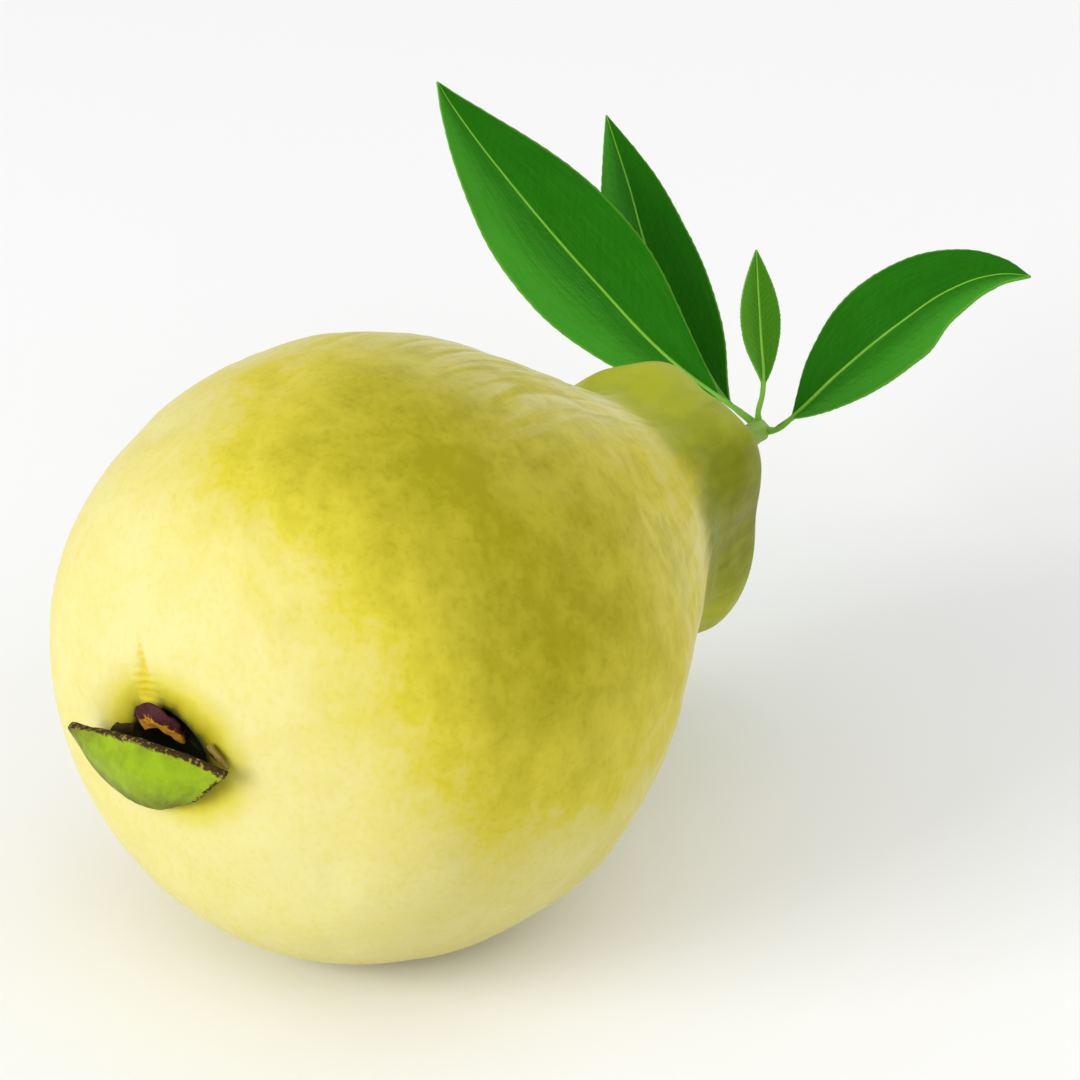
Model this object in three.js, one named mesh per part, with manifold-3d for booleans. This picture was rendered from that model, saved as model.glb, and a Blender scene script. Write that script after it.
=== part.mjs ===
// A pear-shaped guava lying on its side, with its calyx, its stalk and four leaves.
// Millimetres, +Z up. The origin is the centre of the flat spot that the fruit rests on.
// The stalk end points along +Y and the flower end along -Y.
import * as THREE from 'three';
import { mergeVertices } from 'three/addons/utils/BufferGeometryUtils.js';
import Module from 'manifold-3d';

const wasm = await Module();
wasm.setup();

// ---- Driving dimensions ------------------------------------------------------------------

const FRUIT_LENGTH = 105;         // flower end to stalk end, along the fruit's own axis
const BELLY_RADIUS = 37.4;
const NECK_RADIUS = 16.8;         // where the neck is narrowest
const KNOB_RADIUS = 17.6;         // where the neck swells again before the stalk
const KNOB_STATION = 95;          // distance of that swelling from the flower end
const KNOB_FOLD_REACH = 9;        // how far along the axis the knob's folds fade out
const NECK_DROOP = 5;             // degrees that the neck hangs below level
const REST_STATION = 37.8;        // distance from the flower end of the point above the origin
const AXIS_HEIGHT = 35.4;         // height of the fruit's axis at that station
const FRUIT_SIDES = 52;
const FRUIT_STEPS = 40;

const PIT_CENTRE = [-3.5, -37.2, 36.6];   // hollow at the flower end, inside the calyx
const PIT_RADII = [7, 6, 5.6];
const DIMPLE_RADII = [4.6, 3, 4.6];       // hollow at the stalk end
const STALK_GAP = 0.4;                    // between the stalk's foot and the dimple

// The knob is not round. Each fold is its place in degrees from the top towards +X, how many
// degrees it spreads either way, and how far it stands out or, below zero, sinks in.
const KNOB_FOLDS = [
  [1, 12, 1.25], [16.5, 11.5, -0.9], [51, 10.5, 0.6], [92.5, 25.5, -3.9], [140, 16, 0.8],
  [172, 12, -0.7], [205, 14, 0.6], [240, 14, -1.1], [280, 16, 0.7], [318, 12, -0.6],
];

const TABLE_SIZE = [120, 160, 20];        // what cuts the flat spot
const BALL_SIDES = 28;                    // of the rounded hollows and the stamens
const BALL_RINGS = 18;

const LEAF_THICKNESS = 0.6;
const PETIOLE_RADIUS = 0.6;
const LEAF_ACROSS = 4;                    // faces from edge to edge of a leaf
const LEAF_ALONG = 26;                    // faces from its foot to its tip

const LOBE_THICKNESS = 1.1;               // the fleshy green calyx lobe
const DRY_THICKNESS = 0.6;                // the dried ones

// ---- Colours -----------------------------------------------------------------------------

function finish(colour, roughness) {
  return new THREE.MeshStandardMaterial({ color: colour, roughness, metalness: 0 });
}

// ---- Shared geometry helpers ---------------------------------------------------------------

function vectors(points) {
  return points.map((point) => new THREE.Vector3(...point));
}

// A smooth curve through the points given.
function curveThrough(points) {
  return new THREE.CatmullRomCurve3(vectors(points), false, 'centripetal');
}

// A thin solid on a curved surface. surface(u, v) is a point of its middle layer and
// thickness(u, v) its thickness there, with u and v from 0 to 1.
function sheetGeometry(surface, thickness, across, along) {
  const geometry = new THREE.BoxGeometry(1, 1, 1, across, along, 1);
  const position = geometry.attributes.position;
  const step = 0.002;
  for (let i = 0; i < position.count; i++) {
    const u = position.getX(i) + 0.5;
    const v = position.getY(i) + 0.5;
    const alongU = surface(Math.min(u + step, 1), v).sub(surface(Math.max(u - step, 0), v));
    const alongV = surface(u, Math.min(v + step, 1)).sub(surface(u, Math.max(v - step, 0)));
    const normal = alongU.cross(alongV).normalize();
    const point = surface(u, v).addScaledVector(normal, position.getZ(i) * thickness(u, v));
    position.setXYZ(i, point.x, point.y, point.z);
  }
  geometry.computeVertexNormals();
  return geometry;
}

// A closed geometry as a manifold solid: shared vertices merged, empty triangles dropped.
function toSolid(geometry) {
  const bare = geometry.clone();
  bare.deleteAttribute('normal');
  bare.deleteAttribute('uv');
  const merged = mergeVertices(bare, 1e-4);
  const index = merged.index.array;
  const triangles = [];
  for (let i = 0; i < index.length; i += 3) {
    const [a, b, c] = [index[i], index[i + 1], index[i + 2]];
    if (a !== b && b !== c && c !== a) triangles.push(a, b, c);
  }
  return new wasm.Manifold(new wasm.Mesh({
    numProp: 3,
    vertProperties: new Float32Array(merged.attributes.position.array),
    triVerts: new Uint32Array(triangles),
  }));
}

function toGeometry(solid) {
  const mesh = solid.getMesh();
  const geometry = new THREE.BufferGeometry();
  geometry.setAttribute('position', new THREE.BufferAttribute(mesh.vertProperties, 3));
  geometry.setIndex(new THREE.BufferAttribute(mesh.triVerts, 1));
  geometry.computeVertexNormals();
  return geometry;
}

function ellipsoidAt(centre, radii) {
  const geometry = new THREE.SphereGeometry(1, BALL_SIDES, BALL_RINGS);
  geometry.scale(...radii);
  geometry.translate(...centre);
  return geometry;
}

// ---- Fruit ---------------------------------------------------------------------------------

// Takes a point of the fruit's own frame, where Y is the distance from the flower end, to
// where the fruit lies.
function fruitPlacement() {
  return new THREE.Matrix4()
    .makeTranslation(0, 0, AXIS_HEIGHT)
    .multiply(new THREE.Matrix4().makeRotationX(THREE.MathUtils.degToRad(-NECK_DROOP)))
    .multiply(new THREE.Matrix4().makeTranslation(0, -REST_STATION, 0));
}

// Half of the fruit's long section: radius and distance from the flower end.
function fruitOutline() {
  const spline = new THREE.SplineCurve([
    new THREE.Vector2(0, 0),
    new THREE.Vector2(6.6, 1),
    new THREE.Vector2(17.4, 4),
    new THREE.Vector2(28.5, 10),
    new THREE.Vector2(34.8, 20),
    new THREE.Vector2(BELLY_RADIUS, 35),
    new THREE.Vector2(35.1, 48),
    new THREE.Vector2(28.3, 62),
    new THREE.Vector2(21, 76),
    new THREE.Vector2(NECK_RADIUS, 86),
    new THREE.Vector2(KNOB_RADIUS, KNOB_STATION),
    new THREE.Vector2(14, 101.5),
    new THREE.Vector2(5, FRUIT_LENGTH - 0.6),
    new THREE.Vector2(0, FRUIT_LENGTH),
  ]);
  return spline.getSpacedPoints(FRUIT_STEPS);
}

// How far the folds move the knob's skin at an angle from the top, in degrees.
function foldHeight(angle) {
  let height = 0;
  for (const [place, spread, rise] of KNOB_FOLDS) {
    const away = THREE.MathUtils.euclideanModulo(angle - place + 180, 360) - 180;
    height += rise * Math.exp(-((away / spread) ** 2));
  }
  return height;
}

// Folds the knob of a body turned about Y.
function foldKnob(body) {
  const position = body.attributes.position;
  for (let i = 0; i < position.count; i++) {
    const [x, y, z] = [position.getX(i), position.getY(i), position.getZ(i)];
    const angle = THREE.MathUtils.radToDeg(Math.atan2(x, z));
    const nearness = Math.exp(-(((y - KNOB_STATION) / KNOB_FOLD_REACH) ** 2));
    const growth = 1 + (foldHeight(angle) * nearness) / KNOB_RADIUS;
    position.setXYZ(i, x * growth, y, z * growth);
  }
}

function stalkEnd() {
  return new THREE.Vector3(0, FRUIT_LENGTH, 0).applyMatrix4(fruitPlacement());
}

function fruit() {
  const body = new THREE.LatheGeometry(fruitOutline(), FRUIT_SIDES);
  foldKnob(body);
  body.applyMatrix4(fruitPlacement());
  const table = new THREE.BoxGeometry(...TABLE_SIZE);
  table.translate(0, 0, -TABLE_SIZE[2] / 2);
  const pit = ellipsoidAt(PIT_CENTRE, PIT_RADII);
  const dimple = ellipsoidAt(stalkEnd().toArray(), DIMPLE_RADII);
  const solid = toSolid(body)
    .subtract(toSolid(table))
    .subtract(toSolid(pit))
    .subtract(toSolid(dimple));
  return toGeometry(solid);
}

// ---- Calyx -----------------------------------------------------------------------------------

// A sheet between two edges that run the same way, bulging outwards by crown in the middle.
function lobe(footPoints, rimPoints, outwards, crown, thickness) {
  const foot = curveThrough(footPoints);
  const rim = curveThrough(rimPoints);
  const bulge = new THREE.Vector3(...outwards).normalize().multiplyScalar(crown);
  const surface = (u, v) => {
    const height = Math.sin(Math.PI * v) * Math.sin(Math.PI * u);
    return foot.getPoint(u).lerp(rim.getPoint(u), v).addScaledVector(bulge, height);
  };
  return sheetGeometry(surface, () => thickness, 10, 6);
}

// The fleshy lobe: it grows from below the pit and folds up over it.
function greenLobe() {
  const foot = [[-17.4, -37.0, 33.6], [-15.3, -35.9, 28.8], [-7.4, -38.0, 27.5], [0.9, -38.8, 31.1]];
  const rim = [[-17.6, -37.8, 35.3], [-10.4, -39.4, 37.6], [-1.6, -40.6, 39.1], [7.9, -39.8, 38.3]];
  return lobe(foot, rim, [0.1, -1, -0.1], 1.2, LOBE_THICKNESS);
}

// The dried lobe that curls down into the pit from its upper rim.
function curledLobe() {
  const foot = [[-8.7, -37.3, 38.7], [-6.7, -37.9, 40.7], [-3.6, -37.9, 40.9], [-1.5, -37.7, 39.3]];
  const rim = [[-7.6, -35.9, 37.5], [-6.0, -36.1, 38.7], [-3.6, -36.1, 38.7], [-2.1, -35.9, 37.7]];
  return lobe(foot, rim, [0, -1, 0.3], 0.5, DRY_THICKNESS);
}

function leftLobe() {
  const foot = [[-12.6, -37.0, 33.4], [-12.2, -37.2, 35.6], [-11.2, -37.4, 37.4]];
  const rim = [[-9.3, -36.2, 34.2], [-9.2, -36.3, 35.8], [-9.0, -36.6, 37.2]];
  return lobe(foot, rim, [0.2, -1, 0], 0.3, DRY_THICKNESS);
}

function rightLobe() {
  const foot = [[3.6, -38.3, 40.1], [5.2, -38.3, 39.2], [6.6, -38.2, 37.9]];
  const rim = [[2.6, -37.7, 39.0], [3.6, -37.7, 38.3], [4.6, -37.7, 37.4]];
  return lobe(foot, rim, [-0.2, -1, 0], 0.3, DRY_THICKNESS);
}

// What is left of the flower's stamens, a dried lump in the pit.
function driedStamens() {
  return ellipsoidAt([-5.2, -34.6, 37.2], [2.4, 1.2, 1.1]);
}

// ---- Stalk -----------------------------------------------------------------------------------

// Turned about its own axis: a flared foot in the dimple, a plain shaft, and a swollen end
// where the leaf stalks fork.
function stalk() {
  const foot = stalkEnd();
  foot.y -= DIMPLE_RADII[1] - STALK_GAP;
  const fork = new THREE.Vector3(-0.4, 83.6, 29.1);
  const length = foot.distanceTo(fork);
  const outline = new THREE.SplineCurve([
    new THREE.Vector2(0, 0),
    new THREE.Vector2(1.5, 0.1),
    new THREE.Vector2(1.7, 1.6),
    new THREE.Vector2(1.25, 5),
    new THREE.Vector2(1.15, length - 6),
    new THREE.Vector2(1.6, length - 1.8),
    new THREE.Vector2(1.1, length - 0.3),
    new THREE.Vector2(0, length),
  ]);
  const geometry = new THREE.LatheGeometry(outline.getSpacedPoints(20), 14);
  const upwards = new THREE.Vector3(0, 1, 0);
  const direction = fork.clone().sub(foot).normalize();
  geometry.applyQuaternion(new THREE.Quaternion().setFromUnitVectors(upwards, direction));
  geometry.translate(foot.x, foot.y, foot.z);
  return geometry;
}

// ---- Leaves ----------------------------------------------------------------------------------

// route: the midrib from the foot of the leaf stalk to the tip. facing: where the upper side
// looks. halfWidth: of the blade at its widest. petiole: the share of the route that is stalk.
// fold: degrees that each half is raised from flat. droop: how far the edges bend back, as a
// share of the half width.
const LEAVES = [
  {
    name: 'leaf_large',
    route: [[-3.2, 83.6, 30.6], [-7.4, 85.4, 30.6], [-16.6, 85.6, 34.3], [-27.6, 84.7, 42.6],
      [-38.7, 81.7, 54.5], [-46.4, 78.1, 65.8], [-48.1, 76.7, 69.7]],
    facing: [0.5, -0.7, 0.5],
    halfWidth: 8.8,
    petiole: 0.09,
    fold: 14,
    droop: 0.06,
  },
  {
    name: 'leaf_behind',
    route: [[-2.6, 85.2, 28.6], [-9.3, 88.2, 29.6], [-17.1, 92.1, 34.1], [-25.9, 95.3, 42.2],
      [-32.3, 98.5, 51.8], [-36.4, 99.4, 59.9]],
    facing: [0.55, -0.75, 0.35],
    halfWidth: 6.4,
    petiole: 0.12,
    fold: 12,
    droop: 0.05,
  },
  {
    name: 'leaf_small',
    route: [[-0.7, 83.5, 31.4], [-1.6, 86, 33.7], [-4.9, 90.3, 39.3], [-7.1, 92.7, 45.5],
      [-7.9, 93.4, 49.6]],
    facing: [0.6, -0.75, 0.2],
    halfWidth: 2.7,
    petiole: 0.2,
    fold: 12,
    droop: 0.03,
  },
  {
    name: 'leaf_right',
    route: [[2.1, 83.4, 29.8], [4.6, 84.1, 32.3], [9.8, 86.6, 39], [16.5, 90.7, 46.6],
      [22.7, 93.5, 52.7], [28.4, 95.1, 55.2], [32.6, 95.6, 55.7]],
    facing: [0.3, -0.45, 0.85],
    halfWidth: 7.4,
    petiole: 0.08,
    fold: 16,
    droop: 0.05,
  },
];

// The blade's half width at v, 0 at the foot of the leaf stalk and 1 at the tip.
function leafHalfWidth(leaf, v) {
  const blade = THREE.MathUtils.clamp((v - leaf.petiole) / (1 - leaf.petiole), 0, 1);
  const stem = PETIOLE_RADIUS * (1 - 0.75 * blade);
  return stem + (leaf.halfWidth - stem) * Math.sin(Math.PI * blade ** 0.94);
}

function leafBlade(leaf) {
  const midrib = curveThrough(leaf.route);
  const facing = new THREE.Vector3(...leaf.facing).normalize();
  const fold = THREE.MathUtils.degToRad(leaf.fold);
  const surface = (u, v) => {
    const tangent = midrib.getTangentAt(v);
    const sideways = tangent.clone().cross(facing).normalize();
    const normal = sideways.clone().cross(tangent);
    const half = leafHalfWidth(leaf, v);
    const share = 2 * u - 1;
    const raised = Math.abs(share) * Math.sin(fold) - share ** 2 * leaf.droop;
    return midrib.getPointAt(v)
      .addScaledVector(sideways, share * half * Math.cos(fold))
      .addScaledVector(normal, raised * (half - PETIOLE_RADIUS));
  };
  const thickness = (u, v) => {
    const blade = THREE.MathUtils.clamp((v - leaf.petiole) / (1 - leaf.petiole), 0, 1);
    const round = Math.max(0, 1 - 6 * blade);
    return LEAF_THICKNESS * (1 - 0.4 * blade) + (2 * PETIOLE_RADIUS - LEAF_THICKNESS) * round;
  };
  return sheetGeometry(surface, thickness, LEAF_ACROSS, LEAF_ALONG);
}

// ---- Assembly --------------------------------------------------------------------------------

const guava = new THREE.Group();

function addPiece(name, geometry, material) {
  const mesh = new THREE.Mesh(geometry, material);
  mesh.name = name;
  guava.add(mesh);
}

addPiece('fruit', fruit(), finish(0xdcd25c, 0.38));
addPiece('calyx_lobe_green', greenLobe(), finish(0x97bd1b, 0.5));
addPiece('calyx_lobe_curled', curledLobe(), finish(0x4a1a1c, 0.8));
addPiece('calyx_lobe_left', leftLobe(), finish(0x6a4a24, 0.85));
addPiece('calyx_lobe_right', rightLobe(), finish(0x6a4a24, 0.85));
addPiece('dried_stamens', driedStamens(), finish(0xd49a1e, 0.75));
addPiece('stalk', stalk(), finish(0x6fae26, 0.5));
for (const leaf of LEAVES) {
  addPiece(leaf.name, leafBlade(leaf), finish(0x2c8a14, 0.45));
}

export default guava;
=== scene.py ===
"""A pear-shaped guava lying on its side, with its calyx, its stalk and four leaves.

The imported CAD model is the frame. Each plain solid of it is replaced here by a detailed
piece in the same place. Lengths are in metres, written as so many MM.
"""

import math
from contextlib import contextmanager

import bmesh
import bpy
from bpy.props import FloatProperty, FloatVectorProperty, IntProperty, PointerProperty
from mathutils import Matrix, Vector, noise
from mathutils.kdtree import KDTree


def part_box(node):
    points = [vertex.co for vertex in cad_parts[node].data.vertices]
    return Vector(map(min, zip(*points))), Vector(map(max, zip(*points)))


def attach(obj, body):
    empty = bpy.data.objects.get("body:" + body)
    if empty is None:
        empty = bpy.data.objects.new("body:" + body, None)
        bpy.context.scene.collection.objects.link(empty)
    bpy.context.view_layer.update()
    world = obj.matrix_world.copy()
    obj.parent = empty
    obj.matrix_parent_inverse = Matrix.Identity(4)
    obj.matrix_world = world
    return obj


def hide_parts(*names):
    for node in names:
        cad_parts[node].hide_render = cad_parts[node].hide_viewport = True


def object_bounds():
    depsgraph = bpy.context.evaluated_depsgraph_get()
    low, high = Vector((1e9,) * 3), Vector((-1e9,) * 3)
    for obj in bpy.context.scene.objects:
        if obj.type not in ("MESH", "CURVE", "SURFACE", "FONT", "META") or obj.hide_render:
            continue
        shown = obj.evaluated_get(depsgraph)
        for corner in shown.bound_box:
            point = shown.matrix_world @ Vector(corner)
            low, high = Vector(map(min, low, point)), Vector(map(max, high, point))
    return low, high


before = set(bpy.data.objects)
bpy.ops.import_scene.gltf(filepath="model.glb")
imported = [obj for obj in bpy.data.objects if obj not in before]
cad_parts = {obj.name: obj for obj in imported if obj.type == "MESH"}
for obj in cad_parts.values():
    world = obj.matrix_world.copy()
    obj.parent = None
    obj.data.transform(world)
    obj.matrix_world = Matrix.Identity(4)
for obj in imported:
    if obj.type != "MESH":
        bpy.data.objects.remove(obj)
CAD_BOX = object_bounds()

bl_info = {
    "name": "Guava with leaves",
    "version": (1, 0, 0),
    "blender": (4, 5, 0),
    "location": "View3D > Sidebar > Guava",
    "description": "Models a pear-shaped guava with its calyx, stalk and leaves",
    "category": "Add Mesh",
}

MM = 0.001
MERGE_DISTANCE = 0.01 * MM

# ---- Shapes ------------------------------------------------------------------------------

# Half of the fruit's long section, in mm: radius, and distance from the flower end.
FRUIT_OUTLINE = [
    (0, 0), (3.2, 0.35), (6.6, 1), (11.8, 2.2), (17.4, 4), (28.5, 10), (34.8, 20), (37.4, 35),
    (35.1, 48), (28.3, 62), (21, 76), (16.8, 86), (17.6, 95), (14, 101.5), (5, 104.4), (0, 105),
]

# The knob at its far end: its radius, its place along the fruit, and how far its folds reach
# along it.
KNOB_RADIUS = 17.6 * MM
KNOB_STATION = 95 * MM
KNOB_REACH = 9 * MM

# The knob's folds: place in degrees from the top towards +X, how many degrees each spreads
# either way, and how far in mm it stands out or, below zero, sinks in.
KNOB_FOLDS = [
    (1, 12, 1.25), (16.5, 11.5, -0.9), (51, 10.5, 0.6), (92.5, 25.5, -3.9), (140, 16, 0.8),
    (172, 12, -0.7), (205, 14, 0.6), (240, 14, -1.1), (280, 16, 0.7), (318, 12, -0.6),
]

# How yellow the sunny side is along the fruit, as a share of its length, and where, in degrees
# from the top towards +X, the sunny side, the knob's side with painted shade and the pale
# streaks with painted sheen are.
RIPENESS = [
    (0.0, 0.0), (0.03, 0.10), (0.09, 0.52), (0.15, 0.78), (0.24, 0.90), (0.36, 0.82), (0.46, 0.68),
    (0.6, 0.54), (0.72, 0.34), (0.8, 0.38),
]
SUNNY_SIDE = 42
KNOB_SHADED_SIDE = 80
BLOOM_AND_SHEEN_SIDE = 2

# How closely the skin's lengthwise streaks lie, and how closely the finer pale ones at the top,
# which are bloom with a painted sheen on it.
STREAK_DENSITY = 7.0
BLOOM_AND_SHEEN_DENSITY = 16.0

# The crease above the hollow, in mm from the hollow's centre: where its line starts towards X,
# how far it slants back for each mm upwards, and the distance between its cross folds. Then how
# deep the crease and its cross folds are.
CREASE_START = -1.9
CREASE_SLANT = 0.33
CREASE_STEP = 0.95
CREASE_DEPTH = 0.45 * MM
CREASE_FOLD_DEPTH = 0.3 * MM

# The hollow inside the calyx and the sunken, puckered skin around it. None of this reaches
# further along the fruit than FLOWER_END_REACH.
PIT_CENTRE = Vector((-3.7, -37.2, 36.3)) * MM
PIT_RADII = (6.4 * MM, 5.1 * MM)
PIT_DEPTH = 6.4 * MM
BASIN_DEPTH = 0.9 * MM
PUCKER_HEIGHT = 0.2 * MM
FLOWER_END_REACH = 25 * MM

# The dimple that the stalk grows from.
DIMPLE_RADIUS = 4.6 * MM
DIMPLE_DEPTH = 3 * MM

# The two edges of each calyx lobe, in mm: where it grows from the skin, and its free edge.
LOBES = {
    "green": {
        "foot": [(-17.4, -36.6, 33.4), (-15.3, -35.3, 28.8), (-7.4, -36.7, 27.5), (0.9, -37.7, 31.1)],
        "rim": [(-17.6, -37.8, 35.3), (-10.4, -39.4, 37.6), (-1.6, -40.6, 39.1), (7.9, -39.8, 38.3)],
        "outwards": (0.1, -1, -0.1),
        "crown": 1.2,
    },
    "curled": {
        "foot": [(-8.7, -36.9, 38.9), (-6.7, -37.4, 41.1), (-3.6, -37.4, 41.3), (-1.5, -37.2, 39.7)],
        "rim": [(-7.6, -35.9, 36.9), (-6.0, -36.3, 37.8), (-3.6, -36.3, 37.6), (-1.7, -35.9, 36.9)],
        "outwards": (0, -1, 0.3),
        "crown": 0.9,
    },
    "left": {
        "foot": [(-12.6, -36.7, 33.4), (-12.2, -36.8, 35.4), (-11.2, -36.8, 37.0)],
        "rim": [(-9.6, -35.7, 34.2), (-9.5, -35.8, 35.6), (-9.3, -36.0, 36.9)],
        "outwards": (0.2, -1, 0),
        "crown": 0.4,
    },
    "right": {
        "foot": [(3.2, -37.6, 39.4), (4.8, -37.7, 38.5), (6.2, -37.6, 37.2)],
        "rim": [(2.2, -36.9, 38.3), (3.2, -36.9, 37.6), (4.2, -36.8, 36.7)],
        "outwards": (-0.2, -1, 0),
        "crown": 0.4,
    },
}

# The dried stamens: how many there are, how far they stand apart each way, how far behind the
# middle of their box they are rooted, and how thick they are. The golden share spaces them out.
STAMEN_COUNT = 26
STAMEN_SPREAD = (2.4 * MM, 1.3 * MM)
STAMEN_ROOT = 2.6 * MM
STAMEN_RADIUS = 0.16 * MM
GOLDEN_SHARE = 0.618

# Where the leaf stalks fork from the end of the fruit's stalk, in mm.
FORK = (-0.4, 83.6, 29.1)

# route: the midrib from the foot of the leaf stalk to the tip, in mm. facing: where the upper
# side looks. half_width: of the blade at its widest, in mm. petiole: the share of the route
# that is stalk. fold: degrees that each half is raised from flat. droop: how far the edges
# bend back, as a share of the half width. lit_side: the half with painted light, +1 or -1
# across the leaf; the other half has painted shade.
LEAVES = {
    "leaf_large": {
        "route": [
            (-3.2, 83.6, 30.6), (-7.4, 85.4, 30.6), (-16.6, 85.6, 34.3), (-27.6, 84.7, 42.6),
            (-38.7, 81.7, 54.5), (-46.4, 78.1, 65.8), (-48.1, 76.7, 69.7),
        ],
        "facing": (0.5, -0.7, 0.5),
        "half_width": 8.8,
        "petiole": 0.09,
        "fold": 14,
        "droop": 0.06,
        "slot": "leaf_green",
        "lit_side": 1,
    },
    "leaf_behind": {
        "route": [
            (-2.6, 85.2, 28.6), (-9.3, 88.2, 29.6), (-17.1, 92.1, 34.1), (-25.9, 95.3, 42.2),
            (-32.3, 98.5, 51.8), (-36.4, 99.4, 59.9),
        ],
        "facing": (0.55, -0.75, 0.35),
        "half_width": 6.4,
        "petiole": 0.12,
        "fold": 12,
        "droop": 0.05,
        "slot": "leaf_green",
        "lit_side": 1,
    },
    "leaf_small": {
        "route": [
            (-0.7, 83.5, 31.4), (-1.6, 86, 33.7), (-4.9, 90.3, 39.3), (-7.1, 92.7, 45.5),
            (-7.9, 93.4, 49.6),
        ],
        "facing": (0.6, -0.75, 0.2),
        "half_width": 2.7,
        "petiole": 0.2,
        "fold": 12,
        "droop": 0.03,
        "slot": "leaf_young",
        "lit_side": 1,
    },
    "leaf_right": {
        "route": [
            (2.1, 83.4, 29.8), (4.6, 84.1, 32.3), (9.8, 86.6, 39), (16.5, 90.7, 46.6),
            (22.8, 93.4, 52.3), (28.2, 95.0, 55.0), (32.6, 95.6, 55.8),
        ],
        "facing": (0.3, -0.45, 0.85),
        "half_width": 7.4,
        "petiole": 0.08,
        "fold": 16,
        "droop": 0.05,
        "slot": "leaf_green",
        "lit_side": -1,
    },
}

# How far a side vein runs along the blade for each mm that it runs out, and how deep it is.
VEIN_SLANT = 1.1
VEIN_DEPTH = 0.012 * MM

# A blade's edges swing up and down once in RIPPLE_LENGTH, by the height that the settings give
# if half of it is RIPPLE_WIDTH wide. It has BLADE_ROWS faces lengthwise, and TOOTH_ROWS to a tooth.
RIPPLE_LENGTH = 15 * MM
RIPPLE_WIDTH = 9 * MM
BLADE_ROWS = 150
TOOTH_ROWS = 4

# The lights, each with its place and size in metres and the setting that holds its power.
LIGHTS = {
    "key": ((-0.42, -0.95, 0.42), 0.6, "key_power"),
    "fill": ((0.9, -0.2, 0.6), 0.9, "fill_power"),
    "back": ((0.2, 0.9, 0.7), 0.9, "fill_power"),
}
FLOOR_SIZE = 30

# What the camera looks at, in mm.
CAMERA_AIM = (11.24, 16.60, 45.07)

# ---- Settings ----------------------------------------------------------------------------


def length(name, description, default):
    """A length that a user may change."""
    return FloatProperty(
        name=name, description=description, default=default, subtype="DISTANCE", unit="LENGTH"
    )


def angle(name, description, degrees):
    """An angle that a user may change."""
    return FloatProperty(
        name=name, description=description, default=math.radians(degrees), subtype="ANGLE"
    )


def power(name, description, default):
    """The power of a light, which a user may change."""
    return FloatProperty(name=name, description=description, default=default, unit="POWER")


def colour(name, description, default):
    """A colour that a user may change, as linear light."""
    return FloatVectorProperty(
        name=name,
        description=description,
        default=(*default, 1),
        size=4,
        min=0,
        max=1,
        subtype="COLOR",
    )


class GuavaFruitSettings(bpy.types.PropertyGroup):
    """Sizes and colours of the fruit"""

    axis_height: length("Axis height", "Height of the axis above the resting spot", 35.4 * MM)
    rest_station: length("Rest station", "From the flower end to the resting spot", 37.8 * MM)
    neck_droop: angle("Neck droop", "How far the neck hangs below level", 5)
    lump_height: length("Lump height", "Height of the broad unevenness of the skin", 0.7 * MM)
    wrinkle_height: length("Wrinkle height", "Height of the lengthwise wrinkles", 0.48 * MM)
    dent_depth: length("Dent depth", "Depth of the small dents", 0.25 * MM)
    sides: IntProperty(name="Sides", description="Faces around before smoothing", default=128)
    cream: colour("Cream", "Skin at the flower end and underneath", (0.66, 0.60, 0.25))
    yellow: colour("Yellow", "Skin where it turns", (0.58, 0.50, 0.036))
    olive: colour("Olive", "Skin on the side that saw the sun", (0.335, 0.303, 0.005))
    knob_light: colour("Knob light", "Paler side of the knob", (0.40, 0.425, 0.020))
    # Partly the knob's darker green and partly painted shade on its side turned from the light.
    knob_dark_and_shade: colour("Knob dark", "Darker side of the knob", (0.148, 0.168, 0.001))
    # Pale bloom streaks on the top, lightened further by a painted sheen.
    bloom_and_sheen: colour("Bloom", "Pale streaks along the top", (0.78, 0.76, 0.42))
    crease: colour("Crease", "The crease above the hollow", (0.60, 0.49, 0.022))
    # The three rim colours are painted shade on the sunken skin around the hollow.
    rim_shade_inner: colour("Rim, inner", "Skin at the hollow's edge", (0.15, 0.13, 0.004))
    rim_shade_middle: colour("Rim, middle", "Skin near the hollow", (0.38, 0.33, 0.012))
    rim_shade_outer: colour("Rim, outer", "Skin further from the hollow", (0.57, 0.50, 0.04))
    # Painted shade that darkens the inside of the hollow nearly to black.
    hollow: colour("Hollow", "Inside of the calyx", (0.020, 0.022, 0.006))


class GuavaCalyxSettings(bpy.types.PropertyGroup):
    """Sizes and colours of the calyx"""

    lobe_thickness: length("Lobe thickness", "Thickness of the fleshy green lobe", 1.0 * MM)
    dry_thickness: length("Dry thickness", "Thickness of the dried lobes", 0.5 * MM)
    lobe_green: colour("Lobe green", "The fleshy lobe", (0.245, 0.365, 0.001))
    # Painted shade towards the lobe's foot and one end, where it meets the skin.
    lobe_shade: colour("Lobe dark", "The fleshy lobe towards its edges", (0.105, 0.13, 0.001))
    dry_brown: colour("Dry brown", "Dried edges", (0.040, 0.024, 0.006))
    dry_purple: colour("Dry purple", "Outside of the curled lobe", (0.050, 0.007, 0.009))
    dry_orange: colour("Dry orange", "Edge of the curled lobe", (0.62, 0.27, 0.012))
    dry_tan: colour("Dry tan", "Where a dried edge is worn", (0.27, 0.19, 0.035))
    dry_speck: colour("Dry specks", "Specks on dried lobes", (0.02, 0.008, 0.004))


class GuavaStalkSettings(bpy.types.PropertyGroup):
    """Sizes and colours of the stalk"""

    shaft_radius: length("Shaft radius", "Radius of the stalk between its ends", 1.2 * MM)
    fork_radius: length("Fork radius", "Radius of the swelling at the fork", 1.3 * MM)
    ridge_height: length("Ridge height", "Height of the unevenness of the stalk", 0.5 * MM)
    stalk_green: colour("Stalk green", "The stalk", (0.20, 0.36, 0.03))
    stalk_brown: colour("Stalk brown", "Scars and tinges on the stalk", (0.16, 0.09, 0.03))


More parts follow.
